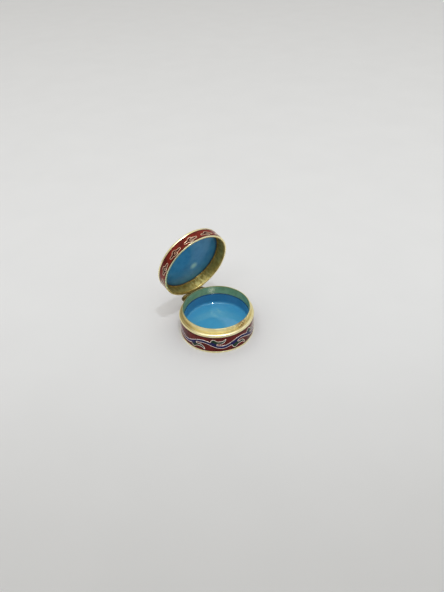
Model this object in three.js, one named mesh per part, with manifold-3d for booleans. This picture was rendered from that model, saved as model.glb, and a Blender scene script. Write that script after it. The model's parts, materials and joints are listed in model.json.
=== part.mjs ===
// A round cloisonné enamel pill box, with its hinged lid standing open.
// Millimetres, +Z up. The origin is the centre of the underside; the hinge is at the back (+Y)
// and the snap catch at the front (-Y). The lid is drawn closed, then turned open about the hinge pin.
import * as THREE from "three";
import { mergeVertices } from "three/addons/utils/BufferGeometryUtils.js";
import Module from "manifold-3d";

const wasm = await Module();
wasm.setup();

// Overall sizes
const BODY_RADIUS = 20.0; // outside of base and lid
const BASE_HEIGHT = 12.0; // table to the seat that the lid's rim closes on
const LID_HEIGHT = 7.0; // rim to the top bead
const LID_OPEN_ANGLE = 76.4; // degrees, as the lid stands

// Facets: round every turned piece, and along its small curves
const AROUND = 52;
const BEAD_STEPS = 4;
const FILLET_STEPS = 4;
const CORNER_STEPS = 2;
const DOME_STEPS = 3;
const HINGE_SIDES = 16;

// Enamel fused into the metal, and the joint line that brazed or fused neighbours keep
const FUSE_GAP = 0.05;
const BAND_DEPTH = 0.75;
const UNDERSIDE_ENAMEL = 1.0;
const LINING_FLOOR = 1.45;
const LINING_WALL = 0.85;
const LINING_FILLET = 1.2;
const LID_TOP_ENAMEL = 0.3;
const LID_LINING = 0.2;

// Brass of the base
const FOOT_RIM = 1.0; // height of the gilt rim below the band
const FOOT_RING = 1.15; // width of the ring that stands on the table
const FOOT_EDGE = 0.25;
const SEAT_BEAD = 1.4; // height of the gilt bead above the band
const BEAD_PROUD = 0.12; // how far either bead swells past the enamel
const BEAD_ROUND = 0.65; // radius of a bead, as a share of its height
const FLOOR_PLATE = 0.8;
const COLLAR_RISE = 3.0; // above the seat
const COLLAR_SINK = 2.0; // below the seat, inside the shell
const COLLAR_WALL = 0.55;
const COLLAR_EDGE = 0.15;

// Brass of the lid
const LID_WALL = 1.25;
const LID_FIT = 0.45; // radial clearance between the lid's wall and the collar
const SEAT_GAP = 0.1; // the closed lid's rim to the seat
const LID_RIM = 0.3; // height of the gilt rim below the lid's band
const LID_TOP_BEAD = 1.35; // height of the gilt bead above the lid's band
const TOP_RING = 2.2; // width of the gilt ring round the top panel
const LID_PLATE = 0.3;
const LID_CORNER = 0.5; // fillet where the wall meets the top plate
const DOME_RISE = 0.6;

// Snap catch, an oblong boss pressed out of the collar's front
const CATCH_LENGTH = 2.8;
const CATCH_HEIGHT = 1.1;
const CATCH_PROUD = 0.2;
const CATCH_CROWN = 0.7; // width of the boss's flat crown, as a share of its foot
const CATCH_DROP = 1.2; // centre below the collar's top edge
const CATCH_ANGLE = 10; // degrees round from the front

// Hinge
const KNUCKLE_RADIUS = 0.85;
const PIN_RADIUS = 0.4;
const PIN_FIT = 0.1; // radial clearance of the pin in its knuckles
const PIN_HEAD_RADIUS = 0.62;
const PIN_HEAD_HEIGHT = 0.3;
const SWING_GAP = 0.15; // between moving parts of the hinge
const HINGE_LIFT = 0.2; // axis above the seat
const BARREL_LENGTH = 13.0;
const LID_KNUCKLE_LENGTH = 4.2;
const LEAF_LENGTH = 16.4;
const LEAF_THICKNESS = 0.95;
const LEAF_CORNER = 1.6; // cut off each outer corner of the base's leaf
const STRAP_HEIGHT = 2.6; // the lid's leaf is a short strap up its wall
const STRAP_THICKNESS = 0.45;

const GILT = { color: 0xc9a54e, roughness: 0.28, metalness: 1.0 };
const MATERIALS = {
  gilt: new THREE.MeshStandardMaterial(GILT),
  brass: new THREE.MeshStandardMaterial({ ...GILT, color: 0xb79d55 }),
  oxblood: new THREE.MeshStandardMaterial({ color: 0x5a1f22, roughness: 0.15 }),
  brick: new THREE.MeshStandardMaterial({ color: 0x7d2617, roughness: 0.15 }),
  sky: new THREE.MeshStandardMaterial({ color: 0x3f86b5, roughness: 0.12 }),
};

// Heights and radii that several pieces share
const bandFloor = BODY_RADIUS - BAND_DEPTH;
const bandTop = BASE_HEIGHT - SEAT_BEAD;
const lidInside = BODY_RADIUS - LID_WALL;
const collarOutside = lidInside - LID_FIT;
const collarInside = collarOutside - COLLAR_WALL;
const collarFoot = BASE_HEIGHT - COLLAR_SINK;
const collarTop = BASE_HEIGHT + COLLAR_RISE;
const shellInside = collarOutside + FUSE_GAP;
const plateUnder = UNDERSIDE_ENAMEL + FUSE_GAP;
const plateTop = plateUnder + FLOOR_PLATE;
const liningTop = plateTop + FUSE_GAP + LINING_FLOOR;
const lidRim = BASE_HEIGHT + SEAT_GAP;
const lidTop = lidRim + LID_HEIGHT;
const lidBandLow = lidRim + LID_RIM;
const lidBandHigh = lidTop - LID_TOP_BEAD;
const lidRecess = lidTop - LID_TOP_ENAMEL - FUSE_GAP;
const lidCeiling = lidRecess - LID_PLATE;
const panelRadius = BODY_RADIUS - TOP_RING;
const liningRadius = lidInside - LID_CORNER;
const pivot = new THREE.Vector3(0, BODY_RADIUS + KNUCKLE_RADIUS + SWING_GAP, BASE_HEIGHT + HINGE_LIFT);

// A leaf keeps this far from the axis, a joint line off the beads of base and lid
const leafRadius = BODY_RADIUS + BEAD_PROUD + FUSE_GAP;

const radians = THREE.MathUtils.degToRad;

// Points of an arc about [centreR, centreZ], from one angle to another in degrees
function arc(centreR, centreZ, radius, from, to, steps) {
  return Array.from({ length: steps + 1 }, (_, i) => {
    const a = radians(from + ((to - from) * i) / steps);
    return [centreR + radius * Math.cos(a), centreZ + radius * Math.sin(a)];
  });
}

// A rounded bead below a top height, from the outside of the band over to the top
function bead(top, height) {
  const radius = height * BEAD_ROUND;
  const centre = BODY_RADIUS + BEAD_PROUD - radius;
  return arc(centre, top - radius, radius, -30, 90, BEAD_STEPS);
}

// Turns a profile of [radius, height] points, listed anticlockwise, about the Z axis
function turned(profile) {
  const points = profile.map(([r, z]) => new THREE.Vector2(r, z));
  return new THREE.LatheGeometry(points, AROUND).rotateX(Math.PI / 2);
}

const ring = (profile) => turned([...profile, profile[0]]);

// A plain disc or drum between two heights
function drum(radius, low, high) {
  return turned([
    [0, low],
    [radius, low],
    [radius, high],
    [0, high],
  ]);
}

function solidOf(geometry) {
  const bare = geometry.clone();
  bare.deleteAttribute("normal");
  bare.deleteAttribute("uv");
  const merged = mergeVertices(bare, 1e-4);
  const mesh = new wasm.Mesh({
    numProp: 3,
    vertProperties: merged.attributes.position.array,
    triVerts: new Uint32Array(merged.index.array),
  });
  return new wasm.Manifold(mesh);
}

function geometryOf(solid) {
  const mesh = solid.getMesh();
  const geometry = new THREE.BufferGeometry();
  geometry.setAttribute("position", new THREE.BufferAttribute(mesh.vertProperties, 3));
  geometry.setIndex(new THREE.BufferAttribute(mesh.triVerts, 1));
  geometry.computeVertexNormals();
  return geometry;
}

function piece(name, geometry, material) {
  const mesh = new THREE.Mesh(geometry, material);
  mesh.name = name;
  return mesh;
}

// Base

function baseShell() {
  return turned([
    [0, plateUnder],
    [BODY_RADIUS - FOOT_RING, plateUnder],
    [BODY_RADIUS - FOOT_RING, 0],
    [BODY_RADIUS - FOOT_EDGE, 0],
    [BODY_RADIUS, FOOT_EDGE],
    [BODY_RADIUS, FOOT_RIM],
    [bandFloor, FOOT_RIM],
    [bandFloor, bandTop],
    [BODY_RADIUS, bandTop],
    ...bead(BASE_HEIGHT, SEAT_BEAD),
    [shellInside, BASE_HEIGHT],
    [shellInside, plateTop],
    [0, plateTop],
  ]);
}

// The boss is a short oval drum, half sunk in the collar's wall
function catchBoss() {
  const sunk = COLLAR_WALL / 2;
  const radius = CATCH_HEIGHT / 2;
  const boss = new THREE.CylinderGeometry(radius * CATCH_CROWN, radius, sunk + CATCH_PROUD, HINGE_SIDES);
  boss.scale(CATCH_LENGTH / CATCH_HEIGHT, 1, 1);
  boss.translate(0, collarOutside + (CATCH_PROUD - sunk) / 2, 0);
  boss.rotateZ(Math.PI + radians(CATCH_ANGLE));
  return boss.translate(0, 0, collarTop - CATCH_DROP);
}

function baseCollar() {
  const strip = ring([
    [collarInside, collarFoot],
    [collarOutside, collarFoot],
    [collarOutside, collarTop - COLLAR_EDGE],
    [collarOutside - COLLAR_EDGE, collarTop],
    [collarInside, collarTop],
  ]);
  return geometryOf(solidOf(strip).add(solidOf(catchBoss())));
}

// Enamel round the side of base or lid, filling its channel
function enamelBand(low, high) {
  return ring([
    [bandFloor + FUSE_GAP, low + FUSE_GAP],
    [BODY_RADIUS, low + FUSE_GAP],
    [BODY_RADIUS, high - FUSE_GAP],
    [bandFloor + FUSE_GAP, high - FUSE_GAP],
  ]);
}

function baseLining() {
  const outside = shellInside - FUSE_GAP;
  const inside = outside - LINING_WALL;
  return turned([
    [0, plateTop + FUSE_GAP],
    [outside, plateTop + FUSE_GAP],
    [outside, collarFoot - FUSE_GAP],
    [inside, collarFoot - FUSE_GAP],
    ...arc(inside - LINING_FILLET, liningTop + LINING_FILLET, LINING_FILLET, 0, -90, FILLET_STEPS),
    [0, liningTop],
  ]);
}

// Lid, drawn closed

function lidShell() {
  const cornerZ = lidCeiling - LID_LINING - LID_CORNER;
  return turned([
    [0, lidCeiling],
    [liningRadius, lidCeiling],
    ...arc(liningRadius, cornerZ, LID_CORNER, 90, 0, CORNER_STEPS),
    [lidInside, lidRim],
    [BODY_RADIUS, lidRim],
    [BODY_RADIUS, lidBandLow],
    [bandFloor, lidBandLow],
    [bandFloor, lidBandHigh],
    [BODY_RADIUS, lidBandHigh],
    ...bead(lidTop, LID_TOP_BEAD),
    [panelRadius, lidTop],
    [panelRadius, lidRecess],
    [0, lidRecess],
  ]);
}

// The panel on top is domed; its edge is level with the bead
function lidTopEnamel() {
  const radius = panelRadius - FUSE_GAP;
  const dome = Array.from({ length: DOME_STEPS + 1 }, (_, i) => {
    const share = 1 - i / DOME_STEPS;
    return [radius * share, lidTop + DOME_RISE * (1 - share ** 2)];
  });
  return turned([[0, lidTop - LID_TOP_ENAMEL], [radius, lidTop - LID_TOP_ENAMEL], ...dome]);
}

// Hinge

function barrel(from, to, radius) {
  const tube = new THREE.CylinderGeometry(radius, radius, to - from, HINGE_SIDES).rotateZ(Math.PI / 2);
  return solidOf(tube.translate((from + to) / 2, pivot.y, pivot.z));
}

function block(x, y, z) {
  const box = new THREE.BoxGeometry(x[1] - x[0], y[1] - y[0], z[1] - z[0]);
  return solidOf(box.translate((x[0] + x[1]) / 2, (y[0] + y[1]) / 2, (z[0] + z[1]) / 2));
}

// A flat leaf from inside the wall out to a straight edge, with its outer corners cut
function leafPlate(outerEdge, low, high) {
  const half = LEAF_LENGTH / 2;
  const inner = Math.sqrt(BODY_RADIUS ** 2 - half ** 2) - LEAF_CORNER;
  const plan = new THREE.Shape([
    new THREE.Vector2(-half, inner),
    new THREE.Vector2(half, inner),
    new THREE.Vector2(half, outerEdge - LEAF_CORNER),
    new THREE.Vector2(half - LEAF_CORNER, outerEdge),
    new THREE.Vector2(LEAF_CORNER - half, outerEdge),
    new THREE.Vector2(-half, outerEdge - LEAF_CORNER),
  ]);
  const plate = new THREE.ExtrudeGeometry(plan, { depth: high - low, bevelEnabled: false });
  return solidOf(plate.translate(0, 0, low));
}

// What a leaf is cut back from, so that it follows the wall with a joint line between
const wallCutter = () => solidOf(drum(leafRadius, 0, lidTop));

const pinBore = () => barrel(-BARREL_LENGTH, BARREL_LENGTH, PIN_RADIUS + PIN_FIT);

function hingeBaseLeaf() {
  const end = BARREL_LENGTH / 2;
  const inner = LID_KNUCKLE_LENGTH / 2 + SWING_GAP;
  const high = BASE_HEIGHT - SWING_GAP;
  const low = high - LEAF_THICKNESS;
  const headRoom = PIN_HEAD_RADIUS + SWING_GAP;
  const reach = KNUCKLE_RADIUS + SWING_GAP;
  const notch = block([-inner, inner], [pivot.y - reach, pivot.y + reach], [pivot.z - reach, pivot.z]);
  return geometryOf(
    leafPlate(pivot.y + KNUCKLE_RADIUS, low, high)
      .subtract(notch)
      .add(barrel(-end, -inner, KNUCKLE_RADIUS))
      .add(barrel(inner, end, KNUCKLE_RADIUS))
      .subtract(pinBore())
      .subtract(barrel(end, BARREL_LENGTH, headRoom))
      .subtract(barrel(-BARREL_LENGTH, -end, headRoom))
      .subtract(wallCutter()),
  );
}

function hingeLidLeaf() {
  const end = LID_KNUCKLE_LENGTH / 2;
  const low = lidRim + SWING_GAP;
  const inner = BODY_RADIUS - STRAP_THICKNESS;
  const strap = block([-end, end], [inner, leafRadius + STRAP_THICKNESS], [low, low + STRAP_HEIGHT]);
  const web = block([-end, end], [inner, pivot.y], [low, pivot.z + KNUCKLE_RADIUS]);
  return geometryOf(
    barrel(-end, end, KNUCKLE_RADIUS).add(strap).add(web).subtract(pinBore()).subtract(wallCutter()),
  );
}

function hingePin() {
  const end = BARREL_LENGTH / 2 + PIN_FIT;
  return geometryOf(
    barrel(-end, end, PIN_RADIUS)
      .add(barrel(-end - PIN_HEAD_HEIGHT, -end, PIN_HEAD_RADIUS))
      .add(barrel(end, end + PIN_HEAD_HEIGHT, PIN_HEAD_RADIUS)),
  );
}

const base = new THREE.Group();
base.add(
  piece("base_shell", baseShell(), MATERIALS.gilt),
  piece("base_collar", baseCollar(), MATERIALS.brass),
  piece("base_enamel_band", enamelBand(FOOT_RIM, bandTop), MATERIALS.oxblood),
  piece("base_lining", baseLining(), MATERIALS.sky),
  piece(
    "base_underside_enamel",
    drum(BODY_RADIUS - FOOT_RING - FUSE_GAP, 0, UNDERSIDE_ENAMEL),
    MATERIALS.sky,
  ),
  piece("hinge_base_leaf", hingeBaseLeaf(), MATERIALS.brass),
  piece("hinge_pin", hingePin(), MATERIALS.brass),
);

const lidPieces = new THREE.Group();
lidPieces.add(
  piece("lid_shell", lidShell(), MATERIALS.gilt),
  piece("lid_enamel_band", enamelBand(lidBandLow, lidBandHigh), MATERIALS.brick),
  piece("lid_top_enamel", lidTopEnamel(), MATERIALS.brick),
  piece(
    "lid_lining",
    drum(liningRadius - FUSE_GAP, lidCeiling - FUSE_GAP - LID_LINING, lidCeiling - FUSE_GAP),
    MATERIALS.sky,
  ),
  piece("hinge_lid_leaf", hingeLidLeaf(), MATERIALS.brass),
);
lidPieces.position.copy(pivot).negate();

const lid = new THREE.Group();
lid.add(lidPieces);
lid.position.copy(pivot);
lid.rotation.x = -radians(LID_OPEN_ANGLE);

const box = new THREE.Group();
box.add(base, lid);

export default box;
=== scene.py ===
import json
from math import ceil, cos, exp, hypot, pi, radians, sin, sqrt

import bmesh
import bpy
from mathutils import Matrix, Vector
from mathutils.geometry import delaunay_2d_cdt
from mathutils.kdtree import KDTree


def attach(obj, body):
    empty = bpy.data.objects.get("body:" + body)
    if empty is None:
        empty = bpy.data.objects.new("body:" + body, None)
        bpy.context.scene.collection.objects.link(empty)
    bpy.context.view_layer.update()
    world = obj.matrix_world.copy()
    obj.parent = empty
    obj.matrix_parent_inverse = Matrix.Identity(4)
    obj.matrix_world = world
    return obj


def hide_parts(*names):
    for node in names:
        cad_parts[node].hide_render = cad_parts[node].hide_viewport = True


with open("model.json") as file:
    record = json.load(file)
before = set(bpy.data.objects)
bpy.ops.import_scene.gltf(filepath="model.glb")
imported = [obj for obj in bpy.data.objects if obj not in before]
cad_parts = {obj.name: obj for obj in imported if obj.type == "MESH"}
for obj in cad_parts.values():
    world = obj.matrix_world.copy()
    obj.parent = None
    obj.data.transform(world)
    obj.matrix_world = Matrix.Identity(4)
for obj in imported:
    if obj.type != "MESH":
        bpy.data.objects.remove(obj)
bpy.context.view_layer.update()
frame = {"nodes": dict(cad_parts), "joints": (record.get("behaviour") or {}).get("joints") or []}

# A round cloisonné enamel pill box with its hinged lid standing open.
# Shapes are worked out in millimetres in the frame of the closed box, and the lid is then turned open.
MM = 0.001

# Camera, fitted to the photograph
CAMERA_AZIMUTH = -37.82
CAMERA_ELEVATION = 38.2
CAMERA_ROLL = -1.84
CAMERA_DISTANCE = 286.8
CAMERA_RIGHT = 2.64
CAMERA_UP = 17.32
FOCAL_PIXELS = 520
PHOTO_HEIGHT = 592
SENSOR = 36.0

# Light: a small lamp with a wide soft-edged beam, a softbox above the camera, and a pale room
LAMP_AZIMUTH = 25  # to the right of the camera
LAMP_ELEVATION = 72
LAMP_DISTANCE = 0.9
LAMP_RADIUS = 0.014
LAMP_POWER = 2.9
SPARKLE_POWER = 9.0  # more of the lamp in its reflections alone
LAMP_COLOUR = (0.93, 1.0, 1.1)
BEAM_AIM = 0.5  # metres beyond the box
BEAM_ANGLE = 69
BEAM_BLEND = 0.5
SOFTBOX_AZIMUTH = -10  # to the left of the camera
SOFTBOX_ELEVATION = 62
SOFTBOX_DISTANCE = 1.6
SOFTBOX_SIZE = 1.1
SOFTBOX_POWER = 5.8
ROOM_COLOUR = (1.0, 0.992, 0.975, 1.0)
HORIZON_LIGHT = 0.34
SKY_LIGHT = 0.72
FLOOR_HALF = 4.0

# Dark card behind the camera, which keeps some of the room's light off the floor in front
CARD_DISTANCE = 0.34
CARD_WIDTH = 0.5
CARD_FOOT = 0.07  # off the floor
CARD_HEIGHT = 0.3

# Fineness of the turned pieces
AROUND = 288
STEP = 0.35
CORNER_STEPS = 5
BEAD_STEP = 5
WELD = 0.001
SHARP_ANGLE = 50

# Hinge
HINGE_SIDES = 48
KNUCKLE_RADIUS = 0.85
PIN_RADIUS = 0.4
PIN_FIT = 0.1
PIN_HEAD_RADIUS = 0.62
PIN_HEAD_HEIGHT = 0.3
BARREL_END = 6.5
SWING_GAP = 0.15
LEAF_CORNER = 1.6
STRAP_THICKNESS = 0.45
STRAP_ARCH = 0.7  # rise of the strap's round end, as a share of its half width
HINGE_EASING = 0.1
LEAF_STEPS = 8
LEAF_CORNER_STEPS = 6
ARCH_STEPS = 12

# Finishes
EDGE_SHADE = 0.9  # width of the deeper enamel beside the metal
PATINA_ROUGHNESS = 0.1
BARE_METAL = 0.85  # share of metal in clean brass
WIRE_METAL = 0.65
DARK_BEAD_SIDE = (-0.8, 0.6)  # direction of the side where the seat's bead is darker and less metallic
DENT_AND_HIGHLIGHT_AZIMUTH = 68  # where the inside of the lid's wall is dented and painted with highlight streaks
DENT_AND_HIGHLIGHT_REACH = 10.5
WORN_AZIMUTH = -83  # where the catch has worn the collar to copper
REFLECTION_AZIMUTH = 61  # where a pale reflection is painted on the inside of the collar
PAINTED_GLINT_SPOT = (3.24, 6.57)  # painted glint, a pale spot in the lid's disc
PAINTED_SHEEN_SPOT = (5.0, 7.6)  # painted reflection, a pale patch in the floor of the lining

# Shine of enamel that is ground smooth, and of enamel as it leaves the fire
SATIN = {"IOR": 1.5, "Specular IOR Level": 0.35}
GLASSY = {"rough": (0.04, 0.1), "IOR": 1.5, "Coat Weight": 0.5, "Coat Roughness": 0.03}

# Cloison wires and the cells between them
WIRE_WIDTH = 0.35
WIRE_PROUD = 0.06
WIRE_ROOT = 0.12
WIRE_STEP = 0.22
VEIN_WIRE = 0.3
CELL_PROUD = 0.02
CELL_STEP = 0.8

# Vine round the base: six waves, with a curled leaf that opens from it at either side of each
VINE_WAVES = 6
VINE_DIP = -120  # azimuth of one dip, in degrees
VINE_MIDDLE = 5.55
VINE_SWING = 1.7
VINE_HALF_WIDTH = 0.85
VINE_STEP = 1.5
VINE_SEAM = -7.1  # millimetres along from a dip, where the vine has no leaf
# Edge of the leaf above a dip, from where it leaves the vine to where it meets it again,
# as millimetres along from the dip and up from the vine's middle
LEAF_EDGE = [
    (-6.4, 1.6), (-6.1, 2.3), (-5.5, 3.15), (-4.6, 3.45), (-3.7, 3.0), (-2.9, 2.35),
    (-1.3, 2.1), (0.2, 2.3), (1.0, 3.0), (1.75, 3.5), (1.55, 2.5), (0.8, 1.4),
    (-0.5, 0.6), (-2.2, 0.75), (-3.0, 0.4), (-2.9, -0.3), (-2.0, -0.6),
]
# How far each leaf drifts along from its place, as the maker bent it
UPPER_DRIFT = [0.0, 0.3, -0.2, 0.4, -0.2]  # the last dip has no leaf
LOWER_DRIFT = [1.1, -0.3, 0.5, 0.2, -0.4, -0.8]

# Clouds round the lid
CLOUDS = 12
CLOUD_AZIMUTH = 17.5
CLOUD_HEIGHT = 14.35
CLOUD_LENGTH = 7.6
CLOUD_BODY = 0.68
CLOUD_CREST = 0.95
CLOUD_BELLY = 0.68
CLOUD_LOBE = 1.25
CLOUD_WIRE = 0.31
CURL_WIRE = 0.25
CURL_ALONG = 0.12
CURL_DROP = 0.28
CURL_START = -55
CURL_SWEEP = 400
CURL_REACH = 1.02
CURL_SHRINK = 0.78
CURL_STEPS = 32

# Rosette on the lid's top
PETALS = 8
PETAL_FOOT = 3.0
PETAL_TIP = 9.0
PETAL_HALF_WIDTH = 2.3
HEART_RADIUS = 2.4
SEPAL_TIP = 10.6
RING_RADIUS = 11.6
TOP_CLOUDS = 10
TOP_CLOUD_RADIUS = 14.6

# Snap catch pressed out of the collar
CATCH_AZIMUTH = -80
CATCH_LENGTH = 2.8
CATCH_HEIGHT = 1.3
CATCH_PROUD = 0.2
CATCH_DROP = 1.2

# How far the maker's hand wavers round each edge
BEAD_WAVER = 0.05
COLLAR_WAVER = 0.03
COLLAR_TOP_WAVER = 0.08
LINING_WAVER = 0.12


def linear(red, green, blue):
    """A colour given as 0 to 255 screen values, as the linear values that shaders take."""
    shares = (red / 255, green / 255, blue / 255)
    return tuple(v / 12.92 if v <= 0.04045 else ((v + 0.055) / 1.055) ** 2.4 for v in shares) + (1.0,)


# Colours
GOLD = linear(255, 246, 204)
OLD_GOLD = linear(248, 236, 180)
# Colour of the painted reflection inside the collar
REFLECTION_GOLD = linear(255, 250, 206)
# Colour of the painted highlight streaks inside the lid's wall
HIGHLIGHT_GOLD = linear(255, 238, 158)
BROWN = linear(150, 124, 72)
# Olive-brown for real grime, also used for painted shade
GRIME_AND_SHADE = linear(142, 122, 66)
COPPER = linear(180, 132, 96)
PIT_BROWN = linear(70, 50, 30)
WIRE_GOLD = linear(255, 248, 242)
PALE_COPPER = linear(252, 230, 210)
# Brown of the painted shade in the lid's corners
SHADE_BROWN = linear(70, 60, 38)
OXBLOOD = linear(118, 25, 16)
DEEP_OXBLOOD = linear(58, 9, 7)
BRICK = linear(134, 37, 12)
DEEP_BRICK = linear(66, 13, 6)
# Blue of the painted shade where the lining meets the collar
RIM_SHADE_BLUE = linear(22, 50, 104)
# Colour of the painted reflection in the lining's floor
SHEEN_BLUE = linear(164, 226, 228)
# Colour of the painted glint in the lid's disc
GLINT_BLUE = linear(178, 226, 222)


# Sizes of the solids, in millimetres
def size_of(node, matrix=Matrix()):
    """The low and high corner of a solid's box, with the solid moved by a matrix."""
    corners = [matrix @ v.co for v in frame["nodes"][node].data.vertices]
    low = [min(c[i] for c in corners) / MM for i in range(3)]
    high = [max(c[i] for c in corners) / MM for i in range(3)]
    return low, high


def levels(node, matrix=Matrix()):
    """The low and high level of a solid."""
    return [corner[2] for corner in size_of(node, matrix)]


joint = next(j for j in frame["joints"] if j["name"] == "lid_hinge")
pivot = Vector(joint["pos_m"])
pin_y, pin_z = pivot.y / MM, pivot.z / MM
opened = Matrix.Rotation(radians(-joint["range_deg"][0]), 4, Vector(joint["axis"]))
lid_open = Matrix.Translation(pivot) @ opened @ Matrix.Translation(-pivot)
lid_shut = lid_open.inverted()

seat = size_of("base_shell")[1][2]
band_low, band_high = levels("base_enamel_band")
band_radius = size_of("base_enamel_band")[1][0]
bead_radius = size_of("base_shell")[1][0]
collar_foot, collar_top = levels("base_collar")
collar_radius = size_of("base_collar")[1][0]
lining_low, lining_high = levels("base_lining")
foot_inside = size_of("base_underside_enamel")[1][0]
underside = size_of("base_underside_enamel")[1][2]
lid_low, lid_high = levels("lid_shell", lid_shut)
lid_band_low, lid_band_high = levels("lid_enamel_band", lid_shut)
panel_radius = size_of("lid_top_enamel", lid_shut)[1][0]
panel_low, panel_high = levels("lid_top_enamel", lid_shut)
disc_radius = size_of("lid_lining", lid_shut)[1][0]
disc_low, disc_high = levels("lid_lining", lid_shut)

# Sizes that the solids' boxes don't give
JOINT = 0.05
CHANNEL_DEPTH = 0.75
COLLAR_WALL = 0.55
LINING_WALL = 0.85
LINING_FILLET = 1.2
LINING_LIP = 0.3
LINING_FLOOR = 1.45
LID_WALL = 1.25
SEAM_AZIMUTH = 96  # soldered seam in the lid's wall
SEAM_RIDGE = 0.05
SEAM_WIDTH = 0.25
BEAD_ROUND = 0.65  # radius of a bead, as a share of its height
GROOVE_ANGLE = 52  # place of the groove in the lid's bead, up from level
GROOVE_SPREAD = 7
collar_inside = collar_radius - COLLAR_WALL
shell_inside = collar_radius + JOINT
lining_inside = collar_radius - LINING_WALL
lining_floor = lining_low + LINING_FLOOR
lid_inside = band_radius - LID_WALL
channel = band_radius - CHANNEL_DEPTH
leaf_radius = bead_radius + JOINT
band_turn = 2 * pi * band_radius


# Making of meshes

def placed(data):
    """A new object for a mesh, a light or a camera."""
    made = bpy.data.objects.new(data.name, data)
    bpy.context.scene.collection.objects.link(made)
    return made


def mesh_object(name, points, faces, material, body):
    """A mesh made in the frame of the closed box. What rides the lid is turned open with it."""
    mesh = bpy.data.meshes.new(name)
    mesh.from_pydata([Vector(p) * MM for p in points], [], faces)
    mesh.validate()
    shell = bmesh.new()
    shell.from_mesh(mesh)
    bmesh.ops.remove_doubles(shell, verts=shell.verts, dist=WELD * MM)
    bmesh.ops.recalc_face_normals(shell, faces=shell.faces)
    shell.to_mesh(mesh)
    shell.free()
    mesh.shade_smooth()
    mesh.set_sharp_from_angle(angle=radians(SHARP_ANGLE))
    mesh.materials.append(MATERIALS[material])
    made = placed(mesh)
    made.matrix_world = lid_open if body == "lid" else Matrix()
    return made


def ease(made, width_mm):
    """Rounds the sharp edges of a piece a little."""
    bevel = made.modifiers.new("eased", "BEVEL")
    bevel.width = width_mm * MM
    bevel.segments = 2
    bevel.limit_method = "ANGLE"
    bevel.angle_limit = radians(SHARP_ANGLE)


def softened(corners):
    """A profile of [radius, height, rounding] corners, with each corner rounded."""
    points = []
    for i, (r, z, rounding) in enumerate(corners):
        here = Vector((r, z))
        if rounding == 0:
            points.append(here)
            continue
        before = Vector(corners[i - 1][:2])
        after = Vector(corners[(i + 1) % len(corners)][:2])
        start = here + (before - here).normalized() * min(rounding, (before - here).length / 2)
        end = here + (after - here).normalized() * min(rounding, (after - here).length / 2)
        for k in range(CORNER_STEPS + 1):
            t = k / CORNER_STEPS
            points.append((1 - t) ** 2 * start + 2 * t * (1 - t) * here + t ** 2 * end)
    return points


def arc(centre_r, centre_z, radius, start, end, steps=12):
    """Profile corners along an arc, from one angle to another."""
    angles = [radians(start + (end - start) * i / steps) for i in range(steps + 1)]
    return [(centre_r + radius * cos(a), centre_z + radius * sin(a), 0) for a in angles]


def lathe(profile, closed, reshape=None, around=AROUND):
    """Turns a profile about the Z axis. reshape(angle, r, z) may move each point."""
    points = []
    rings = []
    for r, z in profile:
        count = 1 if r < 1e-6 else around
        rings.append([len(points) + i for i in range(count)])
        for i in range(count):
            angle = 2 * pi * i / around
            radius, height = reshape(angle, r, z) if reshape else (r, z)
            points.append((radius * cos(angle), radius * sin(angle), height))
    faces = []
    pairs = list(zip(rings, rings[1:])) + ([(rings[-1], rings[0])] if closed else [])
    for low, high in pairs:
        for i in range(around):
            k = (i + 1) % around
            if len(low) == 1:
                faces.append((low[0], high[k], high[i]))
            elif len(high) == 1:
                faces.append((low[i], low[k], high[0]))
            else:
                faces.append((low[i], low[k], high[k], high[i]))
    return points, faces


def subdivided(profile, step, closed):
    """The same profile with no stretch longer than a step."""
    points = []
    ends = profile[1:] + ([profile[0]] if closed else [])
    for a, b in zip(profile, ends):
        count = max(1, ceil((b - a).length / step))
        points.extend(a.lerp(b, i / count) for i in range(count))
    if not closed:
        points.append(profile[-1])
    return points


def smooth_loop(controls, step, closed=True):
    """Points at even steps along a smooth curve through the controls."""
    count = len(controls)
    spots = [Vector(c) for c in controls]
    path = []
    for i in range(count if closed else count - 1):
        a = spots[i - 1] if closed or i > 0 else 2 * spots[0] - spots[1]
        b = spots[i]
        c = spots[(i + 1) % count]
        d = spots[(i + 2) % count] if closed or i + 2 < count else 2 * spots[-1] - spots[-2]
        parts = max(2, ceil((c - b).length / step))
        for k in range(parts):
            t = k / parts
            square = (2 * a - 5 * b + 4 * c - d) * t ** 2
            cube = (3 * b - a - 3 * c + d) * t ** 3
            path.append(0.5 * (2 * b + (c - a) * t + square + cube))
    if not closed:
        path.append(spots[-1])
    return path


class Pieces:
    """Collects the points and faces of one mesh."""

    def __init__(self):
        self.points = []
        self.faces = []

    def add(self, points, faces):
        start = len(self.points)
        self.points.extend(points)
        self.faces.extend(tuple(start + i for i in face) for face in faces)


# A surface places a flat pattern in space: along it, up it, and how far out of it
def on_band(along, up, out):
    angle = along / band_radius
    return ((band_radius + out) * cos(angle), (band_radius + out) * sin(angle), up)


def panel_height(radius):
    return lid_high + (panel_high - lid_high) * (1 - (radius / panel_radius) ** 2)


def on_panel(along, up, out):
    return (along, up, panel_height(hypot(along, up)) + out)


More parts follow.
